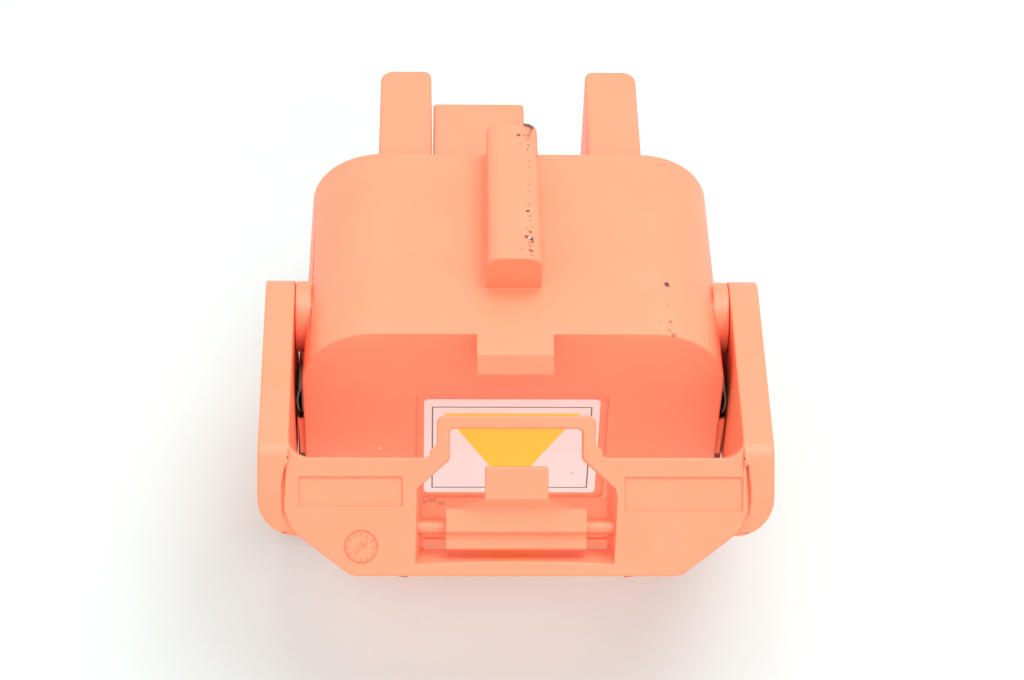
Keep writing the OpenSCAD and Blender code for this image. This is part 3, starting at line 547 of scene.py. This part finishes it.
def addPiece(mesh, name, material, body):
    # smooth mesh with its sharp edges kept, one material, carried by a body
    mesh.materials.append(material)
    mesh.shade_smooth()
    mesh.set_sharp_from_angle(angle=math.radians(fineTurn))
    piece = bpy.data.objects.new(name, mesh)
    bpy.context.scene.collection.objects.link(piece)
    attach(piece, body)
    return piece


for node, look in fasteners.items():
    piece = addPiece(fastenerMesh(look), look["name"], look["material"], "plug")
    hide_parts(node)
    print("threads:", node)

# mould date dial on the crossbar: raised ticks and an arrow inside the moulded ring, in mm
dial = {
    "at": (-26.75, -15.4),     # on the crossbar's face, across and up it
    "face": (-44.8, 56.3),     # y and z of the face's upper edge
    "lean": 39,                # degrees
    "ticks": 12,
    "tickFrom": 2.0,
    "tickTo": 2.42,
    "tickWidth": 0.15,
    "arrowAngle": 48,          # degrees from the crossbar's length
    "arrow": [(-1.5, -0.15), (0.6, -0.15), (0.6, -0.6), (1.6, 0.0),
              (0.6, 0.6), (0.6, 0.15), (-1.5, 0.15)],
    "height": 0.14,
    "sunk": 0.05,              # below the face, so that no gap shows
}


def dialMesh(look):
    # every outline is turned by its angle, moved to the dial's place and made a low prism on the leaning
    # face: y = edge + up cos(lean) - lift sin(lean), z = edge + up sin(lean) + lift cos(lean)
    tick = np.array([(look["tickFrom"], -0.5), (look["tickTo"], -0.5), (look["tickTo"], 0.5),
                     (look["tickFrom"], 0.5)]) * (1, look["tickWidth"])
    turns = [(tick, 360 * i / look["ticks"]) for i in range(look["ticks"])]
    turns.append((np.array(look["arrow"]), look["arrowAngle"]))
    slope = math.radians(look["lean"])
    points, faces = [], []
    for outline, degrees in turns:
        c, s = math.cos(math.radians(degrees)), math.sin(math.radians(degrees))
        flat = outline @ np.array([(c, s), (-s, c)]) + look["at"]
        size, first = len(flat), sum(len(part) for part in points)
        for lift in (-look["sunk"], look["height"]):
            y = look["face"][0] + flat[:, 1] * math.cos(slope) - lift * math.sin(slope)
            z = look["face"][1] + flat[:, 1] * math.sin(slope) + lift * math.cos(slope)
            points.append(np.column_stack([flat[:, 0], y, z]) * mm)
        faces.append(list(range(first + size, first + 2 * size)))
        faces.append(list(range(first + size - 1, first - 1, -1)))
        faces += [[first + i, first + (i + 1) % size, first + size + (i + 1) % size, first + size + i]
                  for i in range(size)]
    mesh = bpy.data.meshes.new("Lever.dial")
    mesh.from_pydata(np.concatenate(points).tolist(), [], faces)
    return mesh


addPiece(dialMesh(dial), "Lever.dial", orangeLever, "lever")
print("mould dial")

finishes = {
    "label": printedFilm,
    # the side springs take the darkened strip: painted shade
    "side_springs": stainlessDarkForShade,
    "rim_seal": silicone,
    "fuse_tube": steatite,
    "fuse_cap_left": tinnedBrass,
    "fuse_cap_right": tinnedBrass,
    "fuse_element": silverCopper,
    "spring_washers": zincSteel,
    "threaded_inserts": tinnedBrass,
    "busbar_left": bareCopper,
    "busbar_right": bareCopper,
    "socket_left": silverCopper,
    "socket_right": silverCopper,
    "contact_springs_left": stainlessDarkForShade,
    "contact_springs_right": stainlessDarkForShade,
    "interlock_jumper": tinnedBrass,
}
for node, material in finishes.items():
    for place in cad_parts[node].material_slots:
        place.material = material
print("finishes:", len(finishes))

studio = {
    "floorSize": 6.0,          # m
    "floorBounce": "#F6F4F2",  # what lights the part from below
    "floorSeen": "#D2DDDB",    # what the camera sees; cool, because the part throws orange light on it
    "floorFibre": "#CFDAD8",
    "fibreSize": 1.111,        # mm, drawn coarse enough to show
    "floorLift": 0.02,         # added for the camera only, so that an unshaded floor is white
    "sky": 1.0,                # strength of the white world; at 1 the camera sees it as white
    "softboxes": [             # W and m
        {"name": "Softbox above", "power": 12.0, "size": 1.1, "at": (0.25, 0.15, 1.35)},
        {"name": "Softbox in front", "power": 1.5, "size": 1.2, "at": (0.3, -1.3, 0.7)},
    ],
    "aim": (0.0, 0.0, 0.03),   # m, near the part's middle
}


def floorMaterial(look):
    # pale paper sweep: white where no shadow falls, and a light one to everything but the camera
    material, tree, place = startMaterial("Paper sweep, matt")
    fibre = addNode(tree, "ShaderNodeTexNoise", None,
                    {"Vector": place, "Scale": 1 / (look["fibreSize"] * mm), "Detail": 2.0})
    tone = addNode(tree, "ShaderNodeMix", {"data_type": "RGBA"},
                   {0: fibre, 6: linearColor(look["floorSeen"]), 7: linearColor(look["floorFibre"])})
    paper = addNode(tree, "ShaderNodeBsdfDiffuse", None, {"Color": tone.outputs[2]})
    glow = addNode(tree, "ShaderNodeEmission", None, {"Strength": look["floorLift"]})
    lifted = addNode(tree, "ShaderNodeAddShader", None, {0: paper, 1: glow})
    bounce = addNode(tree, "ShaderNodeBsdfDiffuse", None, {"Color": linearColor(look["floorBounce"])})
    rays = addNode(tree, "ShaderNodeLightPath")
    mirrored = addNode(tree, "ShaderNodeMath", {"operation": "MAXIMUM"},
                       {0: rays.outputs["Is Glossy Ray"], 1: rays.outputs["Is Transmission Ray"]})
    seen = addNode(tree, "ShaderNodeMath", {"operation": "MAXIMUM"},
                   {0: rays.outputs["Is Camera Ray"], 1: mirrored})
    endMaterial(tree, addNode(tree, "ShaderNodeMixShader", None, {0: seen, 1: bounce, 2: lifted}))
    return material


def addFloor(look):
    # one square face at the level that the part lies on
    half = look["floorSize"] / 2
    corners = [(-half, -half, 0), (half, -half, 0), (half, half, 0), (-half, half, 0)]
    mesh = bpy.data.meshes.new("Floor")
    mesh.from_pydata(corners, [], [(0, 1, 2, 3)])
    mesh.materials.append(floorMaterial(look))
    floor = bpy.data.objects.new("Floor", mesh)
    bpy.context.scene.collection.objects.link(floor)


def addSoftbox(look, aim):
    # round softbox turned towards a point
    lamp = bpy.data.lights.new(look["name"], "AREA")
    lamp.shape = "DISK"
    lamp.size = look["size"]
    lamp.energy = look["power"]
    box = bpy.data.objects.new(look["name"], lamp)
    box.location = look["at"]
    way = Vector(aim) - Vector(look["at"])
    box.rotation_euler = way.to_track_quat("-Z", "Y").to_euler()
    bpy.context.scene.collection.objects.link(box)


def addWorld(look):
    # even white sky
    world = bpy.data.worlds.new("Studio")
    world.use_nodes = True
    tree = world.node_tree
    tree.nodes.clear()
    sky = addNode(tree, "ShaderNodeBackground", None, {"Color": (1, 1, 1, 1), "Strength": look["sky"]})
    addNode(tree, "ShaderNodeOutputWorld", None, {0: sky})
    bpy.context.scene.world = world


addFloor(studio)
for box in studio["softboxes"]:
    addSoftbox(box, studio["aim"])
addWorld(studio)

view = {
    "place": (-16.46, -376.2, 472.78),   # mm
    "yaw": 0.045,                        # radians to the right of +Y
    "pitch": 0.860,                      # radians below the horizon
    "roll": -0.037,                      # radians
    "focal": 108.49,                     # mm
    "sensor": 36.0,                      # mm wide
    "near": 0.01,                        # m, the nearest that shows
    "far": 50.0,                         # m, the farthest
}


def addCamera(look):
    # forward = (sin yaw cos pitch, cos yaw cos pitch, -sin pitch); the picture's own axes are at right
    # angles to it, with across level, and are then turned about it by the roll
    yaw, pitch, roll = look["yaw"], look["pitch"], look["roll"]
    forward = Vector((math.sin(yaw) * math.cos(pitch), math.cos(yaw) * math.cos(pitch), -math.sin(pitch)))
    right = forward.cross(Vector((0, 0, 1))).normalized()
    down = forward.cross(right)
    across = math.cos(roll) * right + math.sin(roll) * down
    under = math.cos(roll) * down - math.sin(roll) * right
    lens = bpy.data.cameras.new("Camera")
    lens.sensor_width = look["sensor"]
    lens.lens = look["focal"]
    lens.clip_start = look["near"]
    lens.clip_end = look["far"]
    camera = bpy.data.objects.new("Camera", lens)
    axes = Matrix((across, -under, -forward)).transposed().to_4x4()
    camera.matrix_world = Matrix.Translation(Vector(look["place"]) * mm) @ axes
    bpy.context.scene.collection.objects.link(camera)
    bpy.context.scene.camera = camera


addCamera(view)
bpy.context.scene.view_settings.view_transform = "Standard"
print("floor, light and camera are in place")
